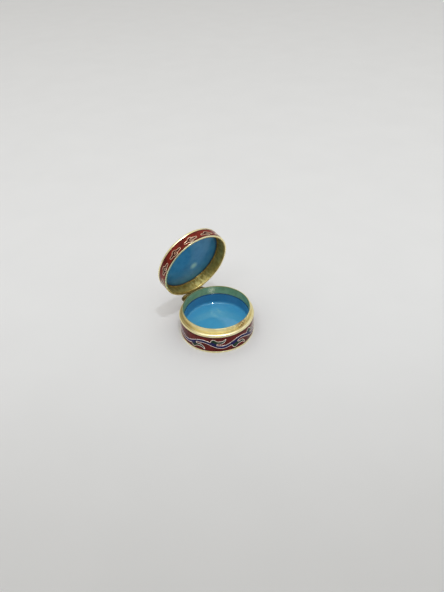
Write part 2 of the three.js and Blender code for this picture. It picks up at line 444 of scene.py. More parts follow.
def add_wire(pieces, path, surface, closed=True, width=WIRE_WIDTH, turn=0.0):
    """A half-round wire laid along a path, with its foot in the enamel.

    turn is the distance along that brings a path round the band back to its start."""
    half = width / 2
    section = [(-half, -WIRE_ROOT), (-half, 0), (-half * 0.7, WIRE_PROUD * 0.75), (0, WIRE_PROUD)]
    section += [(-x, y) for x, y in reversed(section[:-1])]
    count = len(path)
    points = []
    for i, spot in enumerate(path):
        before = path[i - 1] if closed or i > 0 else spot
        after = path[(i + 1) % count] if closed or i + 1 < count else spot
        heading = after - before
        heading.x += turn * ((i == 0) + (i == count - 1))
        heading.normalize()
        side = Vector((-heading.y, heading.x))
        for across, out in section:
            place = spot + side * across
            points.append(surface(place.x, place.y, out))
    size = len(section)
    faces = []
    for i in range(count if closed else count - 1):
        k = (i + 1) % count
        for a in range(size):
            b = (a + 1) % size
            faces.append((i * size + a, i * size + b, k * size + b, k * size + a))
    if not closed:
        faces.append(tuple(range(size)))
        faces.append(tuple((count - 1) * size + a for a in reversed(range(size))))
    pieces.add(points, faces)


def add_cell(pieces, outline, surface, seamed=False):
    """A closed cell of enamel that fills an outline and follows the surface.

    A seamed cell runs once round the band, and its two ends meet."""
    nearest = KDTree(len(outline))
    for i, p in enumerate(outline):
        nearest.insert(p.to_3d(), i)
    nearest.balance()
    low = Vector((min(p.x for p in outline), min(p.y for p in outline)))
    high = Vector((max(p.x for p in outline), max(p.y for p in outline)))
    grid = []
    for i in range(1, ceil((high.x - low.x) / CELL_STEP)):
        for k in range(1, ceil((high.y - low.y) / CELL_STEP)):
            spot = low + Vector((i, k)) * CELL_STEP
            if nearest.find(spot.to_3d())[2] > CELL_STEP / 3:
                grid.append(spot)
    count = len(outline)
    edges = [(i, (i + 1) % count) for i in range(count)]
    flat, _, faces, *_ = delaunay_2d_cdt(list(outline) + grid, edges, [list(range(count))], 1, 1e-6)
    size = len(flat)
    points = [surface(p.x, p.y, CELL_PROUD) for p in flat] + [surface(p.x, p.y, -WIRE_ROOT) for p in flat]
    uses = {}
    for face in faces:
        for a, b in zip(face, face[1:] + face[:1]):
            uses[(a, b)] = True
    ends = {low.x, high.x} if seamed else set()
    sides = [
        (a, b, b + size, a + size)
        for a, b in uses
        if (b, a) not in uses and not (flat[a].x == flat[b].x and flat[a].x in ends)
    ]
    bottom = [tuple(i + size for i in reversed(face)) for face in faces]
    pieces.add(points, [tuple(face) for face in faces] + bottom + sides)


# Materials

class Shader:
    """A node material, with short calls for the nodes that these surfaces need."""

    def __init__(self, name):
        self.material = bpy.data.materials.new(name)
        self.material.use_nodes = True
        self.tree = self.material.node_tree
        self.surface = self.tree.nodes["Principled BSDF"]
        self.place = self.node("ShaderNodeTexCoord").outputs["Object"]

    def node(self, kind, entries=None, **values):
        """A node with its settings, and with an entry for each of the inputs that are named."""
        made = self.tree.nodes.new(kind)
        for key, value in values.items():
            setattr(made, key, value)
        for slot, entry in (entries or {}).items():
            self.join(entry, made.inputs[slot])
        return made

    def join(self, source, target):
        if hasattr(source, "links"):
            self.tree.links.new(source, target)
        else:
            target.default_value = source

    def noise(self, size_mm, detail, stretch=(1, 1, 1)):
        place = self.node("ShaderNodeMapping", {"Vector": self.place, "Scale": stretch}).outputs["Vector"]
        entries = {"Vector": place, "Scale": 1 / (size_mm * MM), "Detail": detail}
        return self.node("ShaderNodeTexNoise", entries).outputs["Fac"]

    def pits(self, size_mm):
        entries = {"Vector": self.place, "Scale": 1 / (size_mm * MM)}
        return self.node("ShaderNodeTexVoronoi", entries).outputs["Distance"]

    def ramp(self, value, low, high, out_low=0.0, out_high=1.0):
        entries = dict(enumerate((value, low, high, out_low, out_high)))
        node = self.node("ShaderNodeMapRange", entries, interpolation_type="SMOOTHSTEP")
        return node.outputs["Result"]

    def fade(self, value, low_mm, high_mm, out_low=0.0, out_high=1.0):
        """A ramp between two lengths in millimetres."""
        return self.ramp(value, low_mm * MM, high_mm * MM, out_low, out_high)

    def patches(self, size_mm, low, high, out_low=0.0, out_high=1.0, detail=2, **options):
        """Soft-edged patches of noise."""
        return self.ramp(self.noise(size_mm, detail, **options), low, high, out_low, out_high)

    def math(self, operation, first, second=0.0):
        node = self.node("ShaderNodeMath", {0: first, 1: second}, operation=operation)
        return node.outputs["Value"]

    def times(self, first, second):
        return self.math("MULTIPLY", first, second)

    def mix(self, share, first, second):
        entries = {"Factor": share, "A": first, "B": second}
        return self.node("ShaderNodeMix", entries, data_type="RGBA").outputs["Result"]

    def axes(self):
        return self.node("ShaderNodeSeparateXYZ", {"Vector": self.place}).outputs

    def radius(self):
        x, y, _ = self.axes()
        return self.math("SQRT", self.math("ADD", self.times(x, x), self.times(y, y)))

    def near(self, spot_mm, full_mm, none_mm, most=1.0, least=0.0):
        """The most within one distance of a spot, fading to the least at another."""
        entries = {0: self.place, 1: [v * MM for v in spot_mm]}
        node = self.node("ShaderNodeVectorMath", entries, operation="DISTANCE")
        return self.fade(node.outputs["Value"], full_mm, none_mm, most, least)

    def bump(self, height, strength, depth_mm):
        entries = {"Strength": strength, "Distance": depth_mm * MM, "Height": height}
        node = self.node("ShaderNodeBump", entries)
        if self.surface.inputs["Normal"].links:
            self.join(self.surface.inputs["Normal"].links[0].from_socket, node.inputs["Normal"])
        self.join(node.outputs["Normal"], self.surface.inputs["Normal"])

    def finish(self, colour, roughness, **plain):
        self.join(colour, self.surface.inputs["Base Color"])
        self.join(roughness, self.surface.inputs["Roughness"])
        for name, value in plain.items():
            self.join(value, self.surface.inputs[name])
        return self.material


def glazed(shader, tone, rough=(0.08, 0.2), **shine):
    """The glossy fired face of enamel, with pinholes and a slight wave."""
    shader.bump(shader.noise(4.5, detail=1), 0.25, 0.2)
    shader.bump(shader.ramp(shader.pits(1.3), 0.02, 0.09), 0.4, 0.04)
    rough = shader.patches(1.2, 0.3, 0.75, *rough, detail=3)
    return shader.finish(tone, rough, **shine)


def cloudy(shader, colour, deep):
    """Enamel colour that varies slowly, with a few dark specks."""
    tone = shader.mix(shader.patches(3.6, 0.35, 0.8, 0, 0.7), colour, deep)
    return shader.mix(shader.patches(0.35, 0.66, 0.76, 0, 0.3), tone, deep)


def enamel(name, colour, deep):
    shader = Shader(name)
    return glazed(shader, cloudy(shader, colour, deep), **SATIN)


def band_enamel(name, colour, deep, low_edge, high_edge):
    """Enamel in a band that is deeper beside the metal at its edges."""
    shader = Shader(name)
    height = shader.axes()[2]
    low = shader.fade(height, low_edge, low_edge + EDGE_SHADE, 1, 0)
    high = shader.fade(height, high_edge - EDGE_SHADE, high_edge)
    share = shader.times(shader.math("MAXIMUM", low, high), 0.75)
    return glazed(shader, shader.mix(share, cloudy(shader, colour, deep), deep), **SATIN)


def lining_enamel():
    """Plain blue, with painted shade that deepens it up the wall and most where it meets the collar, and a
    painted reflection in pale patches on the floor.
    """
    shader = Shader("sky_enamel")
    height = shader.axes()[2]
    # Painted shade: the wall is made darker than the floor, and darkest in the crease under the collar.
    wall = shader.fade(height, lining_floor + 0.2, lining_floor + 2.2, 0, 0.65)
    rim_shade = shader.fade(height, lining_high - 0.7, lining_high - 0.1, 0, 0.7)
    tone = cloudy(shader, linear(92, 176, 216), linear(86, 169, 211))
    tone = shader.mix(wall, tone, linear(68, 130, 176))
    tone = shader.mix(rim_shade, tone, RIM_SHADE_BLUE)
    # Painted reflection: pale mottled patches on the floor stand in for a soft reflection.
    sheen = shader.near((*PAINTED_SHEEN_SPOT, lining_floor), 0.5, 5.5)
    mottle = shader.patches(3.4, 0.36, 0.66, 0, 0.42)
    return glazed(shader, shader.mix(shader.times(sheen, mottle), tone, SHEEN_BLUE), **GLASSY)


def disc_enamel():
    """Plain blue, greyer and more clouded, with painted shade deepening its edge and a painted glint."""
    shader = Shader("lid_sky_enamel")
    # Painted shade: the disc darkens towards its edge, where it meets the lid's wall.
    edge = shader.fade(shader.radius(), disc_radius - 2.0, disc_radius - 0.1, 0, 0.7)
    tone = cloudy(shader, linear(78, 158, 204), linear(56, 136, 188))
    tone = shader.mix(edge, tone, linear(26, 82, 136))
    # Painted glint: a pale turquoise spot stands in for a reflection in the disc.
    glint = shader.near((*PAINTED_GLINT_SPOT, disc_low), 0.5, 3.2, 0.85)
    return glazed(shader, shader.mix(glint, tone, GLINT_BLUE), **SATIN)


def vine_enamel():
    """Blue along the vine, turning green in the leaves that open from it."""
    shader = Shader("vine_enamel")
    x, y, z = shader.axes()
    turned = shader.math("SUBTRACT", shader.math("ARCTAN2", y, x), radians(VINE_DIP))
    wave = shader.math("COSINE", shader.times(turned, VINE_WAVES))
    centre = shader.math("SUBTRACT", VINE_MIDDLE * MM, shader.times(wave, VINE_SWING * MM))
    away = shader.math("ABSOLUTE", shader.math("SUBTRACT", z, centre))
    depth = shader.patches(1.5, 0.35, 0.7)
    blue = shader.mix(depth, linear(30, 26, 104), linear(16, 14, 60))
    green = shader.mix(depth, linear(28, 74, 44), linear(12, 34, 22))
    leaf = shader.fade(away, 1.1, 2.0)
    return glazed(shader, shader.mix(leaf, blue, green), **SATIN)


def gilt(name, bright, dull, tarnish, wear=0.2, roughness=(0.24, 0.34)):
    """Gilt brass: rubbed bright in places, dull in others, with fine scratches and dents."""
    shader = Shader(name)
    tone = shader.mix(shader.patches(5.0, 0.35, 0.75), bright, dull)
    spots = shader.patches(1.4, 0.7, 0.82, 0, wear)
    tone = shader.mix(spots, tone, tarnish)
    shader.bump(shader.noise(6.0, detail=1), 0.25, 0.15)
    shader.bump(shader.noise(0.4, detail=1, stretch=(0.25, 0.25, 3)), 0.05, 0.02)
    rough = shader.patches(2.6, 0.3, 0.7, *roughness, detail=1)
    return shader, tone, rough


def wire_gilt(name, bright, dull, roughness):
    shader, tone, rough = gilt(name, bright, dull, BROWN, roughness=roughness)
    return shader.finish(tone, rough, Metallic=WIRE_METAL)


def hinge_brass():
    shader, tone, rough = gilt("hinge_brass", linear(186, 172, 126), linear(112, 98, 64), GRIME_AND_SHADE, wear=0.8)
    return shader.finish(tone, rough, Metallic=BARE_METAL)


def base_brass():
    """Gilt, darker and less metallic round the collar's foot and along the seat's bead on one side."""
    shader, tone, rough = gilt("base_gilt", GOLD, OLD_GOLD, BROWN, roughness=(0.3, 0.42))
    x, y, z = shader.axes()
    radius = shader.radius()
    corner = shader.fade(radius, collar_radius + 0.4, collar_radius + 1.2, 0.25, 0)
    ledge = shader.fade(radius, bead_radius - 0.45, bead_radius - 0.25, 0.75, 0)
    along, across = DARK_BEAD_SIDE
    aside = shader.math("ADD", shader.times(x, along), shader.times(y, across))
    side = shader.fade(aside, 0.38 * bead_radius, 0.78 * bead_radius)
    level = shader.fade(z, seat - 0.3, seat - 0.15)
    share = shader.math("MAXIMUM", corner, shader.times(ledge, side))
    share = shader.times(share, level)
    metal = shader.math("SUBTRACT", BARE_METAL, share)
    return shader.finish(shader.mix(share, tone, GRIME_AND_SHADE), rough, Metallic=metal)


def patinated(name, bare, inside, light, dark, cover, **options):
    """Gilt brass in two bare tones, with a matt skin from light to dark where inside(shader) is 1."""
    shader, tone, rough = gilt(name, *bare, BROWN, **options)
    share = inside(shader)
    aged = shader.mix(shader.patches(2.6, 0.35, 0.7), light, dark)
    tone = shader.mix(share, tone, aged)
    rough = shader.math("ADD", rough, shader.times(share, PATINA_ROUGHNESS))
    metal = shader.math("SUBTRACT", BARE_METAL, shader.times(share, cover))
    return shader, tone, rough, metal


def beside(radius_mm, azimuth, height_mm):
    """A place on a round wall, in millimetres."""
    turn = radians(azimuth)
    return (radius_mm * cos(turn), radius_mm * sin(turn), height_mm)


def collar_brass():
    """The collar is rubbed bright outside, matt inside with a painted reflection and a painted shade line
    at its top edge, and worn to copper at the catch.
    """
    def inside(shader):
        return shader.fade(shader.radius(), collar_inside + 0.1, collar_radius - 0.1, 1, 0)

    bare = (linear(250, 238, 190), linear(238, 223, 166))
    light, dark = linear(204, 212, 160), linear(184, 198, 144)
    shader, tone, rough, metal = patinated(
        "collar_brass", bare, inside, light, dark, 0.1, roughness=(0.34, 0.42)
    )
    # Painted reflection: a pale, less metallic spot on the inside of the collar.
    reflection_place = beside(collar_inside, REFLECTION_AZIMUTH, (collar_top + lining_high) / 2)
    near = shader.near(reflection_place, 0.8, 3.2, 1, 0.05)
    near = shader.times(near, shader.patches(0.7, 0.36, 0.5))
    near = shader.times(near, inside(shader))
    tone = shader.mix(near, tone, REFLECTION_GOLD)
    metal = shader.math("SUBTRACT", metal, shader.times(near, 0.7))
    height = shader.axes()[2]
    # Painted shade: a dark line along the collar's inner top edge, where it meets the lining.
    lip_shade = shader.fade(shader.radius(), collar_inside + 0.08, collar_inside + 0.2, 1, 0)
    top = shader.fade(height, collar_top - 0.3, collar_top - 0.1)
    lip_shade = shader.times(lip_shade, top)
    tone = shader.mix(shader.times(lip_shade, 0.6), tone, GRIME_AND_SHADE)
    catch = beside(collar_radius, WORN_AZIMUTH, collar_top - CATCH_DROP)
    near = shader.near(catch, 1.2, 3.6)
    worn = shader.times(near, shader.patches(0.9, 0.4, 0.54, detail=3))
    tone = shader.mix(worn, tone, COPPER)
    dull = shader.near(catch, 4, 13, 0.4)
    dull = shader.times(dull, shader.patches(1.8, 0.35, 0.6))
    tone = shader.mix(dull, tone, GRIME_AND_SHADE)
    pitted = shader.times(near, shader.patches(0.6, 0.58, 0.66))
    tone = shader.mix(pitted, tone, PIT_BROWN)
    return shader.finish(tone, rough, Metallic=metal)


def lid_brass():
    """The lid's shell is gilt outside, and matt and dented on the inside of its wall, with painted shade
    in its corners and painted highlight streaks.
    """
    def inside(shader):
        wall = shader.fade(shader.radius(), lid_inside + 0.3, lid_inside + 0.6, 1, 0)
        below = shader.fade(shader.axes()[2], disc_high, disc_high + 0.3, 1, 0)
        return shader.times(wall, below)

    bare = (GOLD, OLD_GOLD)
    light, dark = linear(238, 206, 124), linear(204, 172, 94)
    shader, tone, rough, metal = patinated("lid_brass", bare, inside, light, dark, 0.2)
    height = shader.axes()[2]
    # Painted shade: darkens the corner where the wall meets the disc, and the inner half of the rim.
    corner = shader.fade(shader.radius(), lid_inside - 0.15, lid_inside - 0.03, 1, 0)
    corner = shader.times(inside(shader), corner)
    tone = shader.mix(shader.times(corner, 0.75), tone, SHADE_BROWN)
    lip_shade = shader.fade(height, lid_low + 0.3, lid_low + 0.1)
    lip_shade = shader.times(inside(shader), lip_shade)
    tone = shader.mix(shader.times(lip_shade, 0.6), tone, SHADE_BROWN)
    # Painted highlight: bright, less metallic streaks over the dents stand in for the lamp's reflection.
    middle = beside(lid_inside, DENT_AND_HIGHLIGHT_AZIMUTH, (lid_low + disc_low) / 2)
    near = shader.near(middle, 1, DENT_AND_HIGHLIGHT_REACH)
    streaks = shader.patches(1.1, 0.44, 0.54, detail=3, stretch=(1, 1, 0.5))
    patches = shader.patches(3.0, 0.36, 0.52, 0.45, 1, detail=1)
    painted_streaks = shader.times(shader.times(streaks, patches), inside(shader))
    painted_streaks = shader.times(painted_streaks, near)
    dents = shader.times(shader.noise(1.5, detail=1, stretch=(1, 1, 0.4)), near)
    shader.bump(dents, 0.6, 0.35)
    metal = shader.math("SUBTRACT", metal, shader.times(painted_streaks, 0.65))
    return shader.finish(shader.mix(painted_streaks, tone, HIGHLIGHT_GOLD), rough, Metallic=metal)


MATERIALS = {
    "gilt": base_brass(),
    "wire": wire_gilt("wire_gilt", WIRE_GOLD, PALE_COPPER, (0.25, 0.4)),
    "cloud_wire": wire_gilt("cloud_wire_gilt", linear(248, 222, 192), linear(220, 184, 150), (0.3, 0.45)),
    "hinge": hinge_brass(),
    "collar": collar_brass(),
    "lid": lid_brass(),
    "base_red": band_enamel("oxblood_enamel", OXBLOOD, DEEP_OXBLOOD, band_low, band_high),
    "lid_red": band_enamel("brick_enamel", BRICK, DEEP_BRICK, lid_band_low, lid_band_high),
    "top_red": enamel("top_enamel", linear(146, 36, 22), linear(104, 22, 16)),
    "vine": vine_enamel(),
    "sky": lining_enamel(),
    "lid_sky": disc_enamel(),
    "cobalt": enamel("cobalt_enamel", linear(38, 36, 110), linear(22, 20, 70)),
    "green": enamel("green_enamel", linear(34, 78, 46), linear(16, 40, 26)),
    "night": enamel("night_enamel", linear(80, 20, 9), linear(38, 11, 6)),
    "white": enamel("white_enamel", linear(214, 210, 196), linear(184, 176, 160)),
}


def turned_piece(name, nodes, body, material, corners, closed=False, reshape=None, step=None):
    profile = softened(corners)
    if step:
        profile = subdivided(profile, step, closed)
    points, faces = lathe(profile, closed, reshape)
    settle(mesh_object(name, points, faces, material, body), nodes, body)


def settle(made, nodes, body):
    if nodes:
        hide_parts(*nodes)
    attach(made, body)


def pattern_piece(name, pieces, body, material):
    settle(mesh_object(name, pieces.points, pieces.faces, material, body), (), body)


def bead(top, height, groove=0.0):
    """The rounded bead below a top height, with a groove as deep as given along it."""
    radius = height * BEAD_ROUND
    points = []
    for angle in range(-30, 91, BEAD_STEP):
        reach = radius - groove * exp(-((angle - GROOVE_ANGLE) / GROOVE_SPREAD) ** 2)
        out, up = reach * cos(radians(angle)), reach * sin(radians(angle))
        points.append((bead_radius - radius + out, top - radius + up, 0))
    return points


def unevenness(angle, size):
    """A slow waver round a piece made by hand: three waves of different lengths."""
    waves = sin(3 * angle + 0.7) + 0.6 * sin(7 * angle + 2.1) + 0.35 * sin(13 * angle)
    return size * waves / 2


# Base

def base_shell():
    def reshape(angle, r, z):
        swell = unevenness(angle, BEAD_WAVER) if z > band_high and r > shell_inside + 0.1 else 0
        return r + swell, z

    turned_piece("base_brass", ["base_shell"], "base", "gilt", [
        (0, underside + JOINT, 0),
        (foot_inside + JOINT, underside + JOINT, 0.05),
        (foot_inside + JOINT, 0, 0.12),
        (band_radius, 0, 0.35),
        (band_radius, band_low - JOINT, 0.06),
        (channel, band_low - JOINT, 0),
        (channel, band_high + JOINT, 0),
        (band_radius, band_high + JOINT, 0.05),
        *bead(seat, seat - band_high - JOINT),
        (shell_inside, seat, 0.05),
        (shell_inside, lining_low - JOINT, 0),
        (0, lining_low - JOINT, 0),
    ], reshape=reshape)


def base_collar():
    azimuth = radians(CATCH_AZIMUTH)
    height = collar_top - CATCH_DROP

    def reshape(angle, r, z):
        turn = (angle - azimuth + pi) % (2 * pi) - pi
        reach = (turn * collar_radius / (CATCH_LENGTH / 2)) ** 2 + ((z - height) / (CATCH_HEIGHT / 2)) ** 2
        pressed = CATCH_PROUD * exp(-reach ** 1.5) + unevenness(angle + 1, COLLAR_WAVER)
        lift = max(0, (z - seat) / (collar_top - seat)) * unevenness(angle + 2, COLLAR_TOP_WAVER)
        return r + pressed, z + lift

    turned_piece("collar_strip", ["base_collar"], "base", "collar", [
        (collar_inside, collar_foot, 0.05),
        (collar_radius, collar_foot, 0.05),
        (collar_radius, collar_top, 0.16),
        (collar_inside, collar_top, 0.12),
    ], closed=True, reshape=reshape, step=STEP)


def base_lining():
    def reshape(angle, r, z):
        creeps = z > lining_floor + LINING_FILLET and r < collar_inside
        return r, z + (unevenness(angle + 3, LINING_WAVER) if creeps else 0)

    turned_piece("lining_enamel", ["base_lining"], "base", "sky", [
        (0, lining_low, 0),
        (collar_radius, lining_low, 0.1),
        (collar_radius, lining_high, 0.1),
        (lining_inside, lining_high, LINING_LIP),
        *arc(lining_inside - LINING_FILLET, lining_floor + LINING_FILLET, LINING_FILLET, 0, -90),
        (0, lining_floor, 0),
    ], reshape=reshape)


def base_underside():
    turned_piece("underside_disc", ["base_underside_enamel"], "base", "sky", [
        (0, 0, 0),
        (foot_inside, 0, 0.08),
        (foot_inside, underside, 0.05),
        (0, underside, 0),
    ], step=2)


def enamel_ring(name, node, body, material, low, high):
    turned_piece(name, [node], body, material, [
        (channel + JOINT, low, 0.05),
        (band_radius, low, 0.08),
        (band_radius, high, 0.08),
        (channel + JOINT, high, 0.05),
    ], closed=True, step=1.2)


def vine_centre(along):
    phase = VINE_WAVES * (along / band_radius - radians(VINE_DIP))
    return VINE_MIDDLE - VINE_SWING * cos(phase)


def vine_edge(side):
    """One edge of the vine with its leaves, once round the box from the seam."""
    wave = band_turn / VINE_WAVES
    dip = radians(VINE_DIP) * band_radius
    start = dip + VINE_SEAM
    drifts = UPPER_DRIFT if side > 0 else LOWER_DRIFT

    def plain(low, high):
        """Points of the bare vine's edge between two places."""
        count = max(1, round((high - low) / VINE_STEP))
        for i in range(count + 1):
            along = low + (high - low) * i / count
            slope = vine_centre(along + 0.5) - vine_centre(along - 0.5)
            yield along, vine_centre(along) + side * VINE_HALF_WIDTH * hypot(1, slope)

    controls = []
    reached = start
    for n, drift in enumerate(drifts):
        middle = dip + wave * (n + (0 if side > 0 else 0.5)) + drift
        leaf = [(middle + x, VINE_MIDDLE + side * y) for x, y in LEAF_EDGE]
        if leaf[0][0] > start + band_turn:
            break
        controls.extend(plain(reached, leaf[0][0] - VINE_STEP / 2))
        controls.extend(leaf)
        reached = leaf[-1][0] + VINE_STEP / 2
    controls.extend(plain(reached, start + band_turn))
    return smooth_loop(controls, WIRE_STEP, closed=False)


def vine_pattern():
    edges = {side: vine_edge(side) for side in (1, -1)}
    wires, vine = Pieces(), Pieces()
    for edge in edges.values():
        add_wire(wires, edge[:-1], on_band, turn=band_turn)
    add_cell(vine, edges[-1] + edges[1][::-1], on_band, seamed=True)
    pattern_piece("vine_wires", wires, "base", "wire")
    pattern_piece("vine_enamel", vine, "base", "vine")


# Lid

def lid_shell():
    def reshape(angle, r, z):
        inner = r < lid_inside + 0.3 and z < disc_low
        along = (angle - radians(SEAM_AZIMUTH)) * lid_inside
        ridge = SEAM_RIDGE * exp(-((along / SEAM_WIDTH) ** 2)) if inner else 0
        swell = unevenness(angle + 4, BEAD_WAVER) if z > lid_band_high and r > panel_radius + 0.5 else 0
        return r - ridge + swell, z

    ceiling = disc_high + JOINT
    turned_piece("lid_brass", ["lid_shell"], "lid", "lid", [
        (0, ceiling, 0),
        (disc_radius + JOINT, ceiling, 0),
        *arc(disc_radius + JOINT, disc_low - 0.5 + JOINT, 0.5, 90, 0, 6),
        (lid_inside, lid_low, 0.45),
        (band_radius, lid_low, 0.3),
        (band_radius, lid_band_low - JOINT, 0.04),
        (channel, lid_band_low - JOINT, 0),
        (channel, lid_band_high + JOINT, 0),
        (band_radius, lid_band_high + JOINT, 0.05),
        *bead(lid_high, lid_high - lid_band_high - JOINT, groove=0.14),
        (panel_radius + JOINT, lid_high, 0.06),
        (panel_radius + JOINT, panel_low - JOINT, 0),
        (0, panel_low - JOINT, 0),
    ], reshape=reshape, step=1.0)


def lid_lining():
    turned_piece("lid_disc", ["lid_lining"], "lid", "lid_sky", [
        (0, disc_low, 0),
        (disc_radius, disc_low, 0.1),
        (disc_radius, disc_high, 0.05),
        (0, disc_high, 0),
    ], step=2)


def cloud_outline(middle, height):
    """A long cloud with round ends, a lobe on top and a smaller one below."""
    count = round(2.4 * CLOUD_LENGTH / WIRE_STEP)
    path = []
    for i in range(count):
        t = 2 * pi * (i + 0.5) / count
        x = CLOUD_LENGTH / 2 * cos(t)
        lobe = exp(-((x / CLOUD_LOBE) ** 4))
        body = CLOUD_BODY * abs(sin(t)) ** 0.45
        y = body + CLOUD_CREST * lobe if sin(t) > 0 else -body - CLOUD_BELLY * lobe
        path.append(Vector((middle + x, height + y)))
    return path


def cloud_curl(middle, height):
    """The wire that curls up inside the cloud's lower lobe."""
    centre = Vector((middle + CURL_ALONG, height - CURL_DROP))
    path = []
    for i in range(CURL_STEPS + 1):
        share = i / CURL_STEPS
        angle = radians(CURL_START + CURL_SWEEP * share)
        reach = CURL_REACH - CURL_SHRINK * share
        path.append(centre + reach * Vector((cos(angle), sin(angle))))
    return path


def cloud_pattern():
    wires, clouds = Pieces(), Pieces()
    for n in range(CLOUDS):
        middle = radians(CLOUD_AZIMUTH + 360 * n / CLOUDS) * band_radius
        outline = cloud_outline(middle, CLOUD_HEIGHT)
        add_cell(clouds, outline, on_band)
        add_wire(wires, outline, on_band, width=CLOUD_WIRE)
        add_wire(wires, cloud_curl(middle, CLOUD_HEIGHT), on_band, closed=False, width=CURL_WIRE)
    pattern_piece("cloud_wires", wires, "lid", "cloud_wire")
    pattern_piece("cloud_cells", clouds, "lid", "night")


def spun(path, angle):
    spin = Matrix.Rotation(angle, 2)
    return [spin @ p for p in path]


def circle(radius):
    count = round(2 * pi * radius / WIRE_STEP)
    turns = [2 * pi * i / count for i in range(count)]
    return [Vector((radius * cos(turn), radius * sin(turn))) for turn in turns]


def petal_outline():
    middle = (PETAL_FOOT + PETAL_TIP) / 2
    controls = [
        (PETAL_FOOT, 0),
        (PETAL_FOOT + 0.9, 0.85),
        (middle, PETAL_HALF_WIDTH * 0.9),
        (PETAL_TIP - 1.2, PETAL_HALF_WIDTH),
        (PETAL_TIP - 0.2, 1.0),
        (PETAL_TIP - 0.75, 0),
    ]
    controls += [(x, -y) for x, y in reversed(controls[1:-1])]
    return smooth_loop(controls, WIRE_STEP)


def sepal_outline():
    """The pointed leaf that shows between two petals."""
    half = [(6.6, 0), (7.6, 0.55), (9.2, 0.75), (SEPAL_TIP, 0)]
    return smooth_loop(half + [(x, -y) for x, y in reversed(half[1:-1])], WIRE_STEP)


def panel_pattern():
    """A rosette in a ring of clouds, on the lid's domed top."""
    wires = Pieces()
    cells = {kind: Pieces() for kind in ("cobalt", "white", "green", "night", "sky")}

    def lay(kind, outline):
        add_cell(cells[kind], outline, on_panel)
        add_wire(wires, outline, on_panel)

    def bent(path, turn):
        """A flat cloud's path, bent round the panel and turned to its place."""
        curve = [Vector((p.x, p.y - p.x ** 2 / (2 * TOP_CLOUD_RADIUS) + TOP_CLOUD_RADIUS)) for p in path]
        return spun(curve, turn - pi / 2)

    petal = petal_outline()
    sepal = sepal_outline()
    vein = smooth_loop([(PETAL_FOOT + 1.4, 0), (PETAL_TIP - 2.6, 0)], 0.4, closed=False)
    for n in range(PETALS):
        turn = 2 * pi * n / PETALS
        lay("cobalt" if n % 2 else "sky", spun(petal, turn))
        add_wire(wires, spun(vein, turn), on_panel, closed=False, width=VEIN_WIRE)
        lay("green", spun(sepal, turn + pi / PETALS))
    lay("white", circle(HEART_RADIUS))
    lay("cobalt", circle(HEART_RADIUS * 0.45))
    add_wire(wires, circle(RING_RADIUS), on_panel)
    for n in range(TOP_CLOUDS):
        turn = 2 * pi * n / TOP_CLOUDS
        lay("night", bent(cloud_outline(0, 0), turn))
        add_wire(wires, bent(cloud_curl(0, 0), turn), on_panel, closed=False, width=CURL_WIRE)
    pattern_piece("panel_wires", wires, "lid", "wire")
    for kind, pieces in cells.items():
        pattern_piece(f"panel_{kind}", pieces, "lid", kind)


def lid_panel():
    dome = [(r, panel_height(r), 0) for r in (panel_radius * (1 - i / 24) for i in range(1, 24))]
    turned_piece("lid_panel", ["lid_top_enamel"], "lid", "top_red", [
        (0, panel_low, 0),
        (panel_radius, panel_low, 0),
        (panel_radius, lid_high, 0.08),
        *dome,
        (0, panel_height(0), 0),
    ])


# Hinge, in the frame of the closed box

def along_pin(points):
    """Points turned about the Z axis, laid along the hinge's axis instead."""
    return [(z, pin_y + x, pin_z + y) for x, y, z in points]


def knuckle(low, high):
    """A ring about the hinge's axis, between two places along it, with rounded edges."""
    bore = PIN_RADIUS + PIN_FIT
    points, faces = lathe(softened([
        (bore, low, 0.05),
        (KNUCKLE_RADIUS, low, 0.15),
        (KNUCKLE_RADIUS, high, 0.15),
        (bore, high, 0.05),
    ]), closed=True, around=HINGE_SIDES)
    return along_pin(points), faces


def plate(outline, low, high, place):
    """A flat plate between two levels, where place(x, y, level) puts it."""
    count = len(outline)
    points = [place(x, y, level) for level in (low, high) for x, y in outline]
    faces = [tuple(reversed(range(count))), tuple(range(count, 2 * count))]
    faces += [(i, (i + 1) % count, count + (i + 1) % count, count + i) for i in range(count)]
    return points, faces


def leaf_half(side, inner, outer, edge):
    """Outline of one half of the base's leaf: the wall's curve, then round to the outer edge."""
    reach = [inner + (outer - inner) * i / LEAF_STEPS for i in range(LEAF_STEPS + 1)]
    curve = [(side * x, sqrt(leaf_radius ** 2 - x ** 2)) for x in reach]
    x, y = outer - LEAF_CORNER, edge - LEAF_CORNER
    turns = [radians(90 * i / LEAF_CORNER_STEPS) for i in range(LEAF_CORNER_STEPS + 1)]
    corner = [(side * (x + LEAF_CORNER * cos(t)), y + LEAF_CORNER * sin(t)) for t in turns]
    return curve + corner + [(side * inner, edge)]


def hinge_leaf(inner):
    """The base's leaf and its two knuckles, with a web below the lid's knuckle."""
    (_, _, low), (right, edge, _) = size_of("hinge_base_leaf")
    pieces = Pieces()
    for side in (-1, 1):
        pieces.add(*knuckle(*sorted((side * inner, side * BARREL_END))))
        half = leaf_half(side, inner, right, edge)
        pieces.add(*plate(half, low, seat - SWING_GAP, lambda x, y, z: (x, y, z)))
    web = [(-inner, bead_radius), (inner, bead_radius), (inner, edge), (-inner, edge)]
    pieces.add(*plate(web, low, pin_z - KNUCKLE_RADIUS - SWING_GAP, lambda x, y, z: (x, y, z)))
    made = mesh_object("hinge_leaf", pieces.points, pieces.faces, "hinge", "base")
    ease(made, HINGE_EASING)
    settle(made, ["hinge_base_leaf"], "base")


